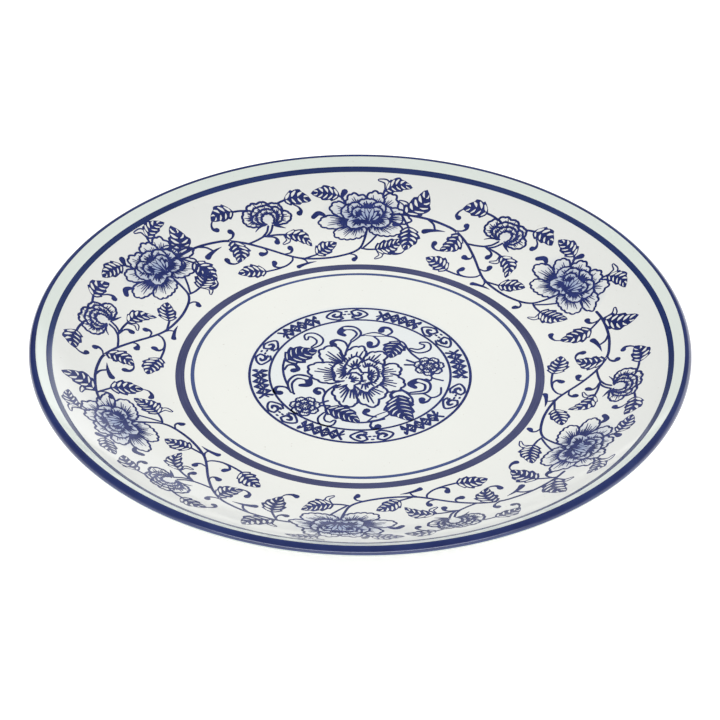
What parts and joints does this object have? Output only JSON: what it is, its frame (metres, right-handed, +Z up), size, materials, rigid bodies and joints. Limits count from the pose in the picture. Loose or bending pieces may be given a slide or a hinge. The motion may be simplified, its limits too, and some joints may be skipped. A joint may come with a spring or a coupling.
{
  "type": "china serving platter",
  "caption": "Round porcelain serving plate with a foot ring, curved wall, rounded lip, clear glaze, painted bands and printed blue flower decoration.",
  "frame": {"origin": "centre of the foot ring's base, on the surface that the plate stands on", "axes": "+Z up out of the dish along its axis of revolution, +Y towards the first garland's flower, +X to the right of it"},
  "size_m": [0.26, 0.26, 0.0271],
  "materials": {
    "clay": "matte",
    "glaze": "gloss",
    "edge_blue": "gloss",
    "line_blue": "gloss",
    "verge_blue": "gloss",
    "print_blue": "gloss"
  },
  "bodies": {
    "root": {"porcelain_body": "clay", "glaze_coat": "glaze", "edge_band": "edge_blue", "rim_line": "line_blue", "verge_band": "verge_blue", "verge_line": "line_blue", "medallion_outer_line": "print_blue", "medallion_inner_line": "print_blue", "medallion_border": "print_blue", "medallion_flower": "print_blue", "garland_1": "print_blue", "garland_2": "print_blue", "garland_3": "print_blue", "garland_4": "print_blue", "garland_5": "print_blue", "garland_6": "print_blue"}
  },
  "joints": []
}
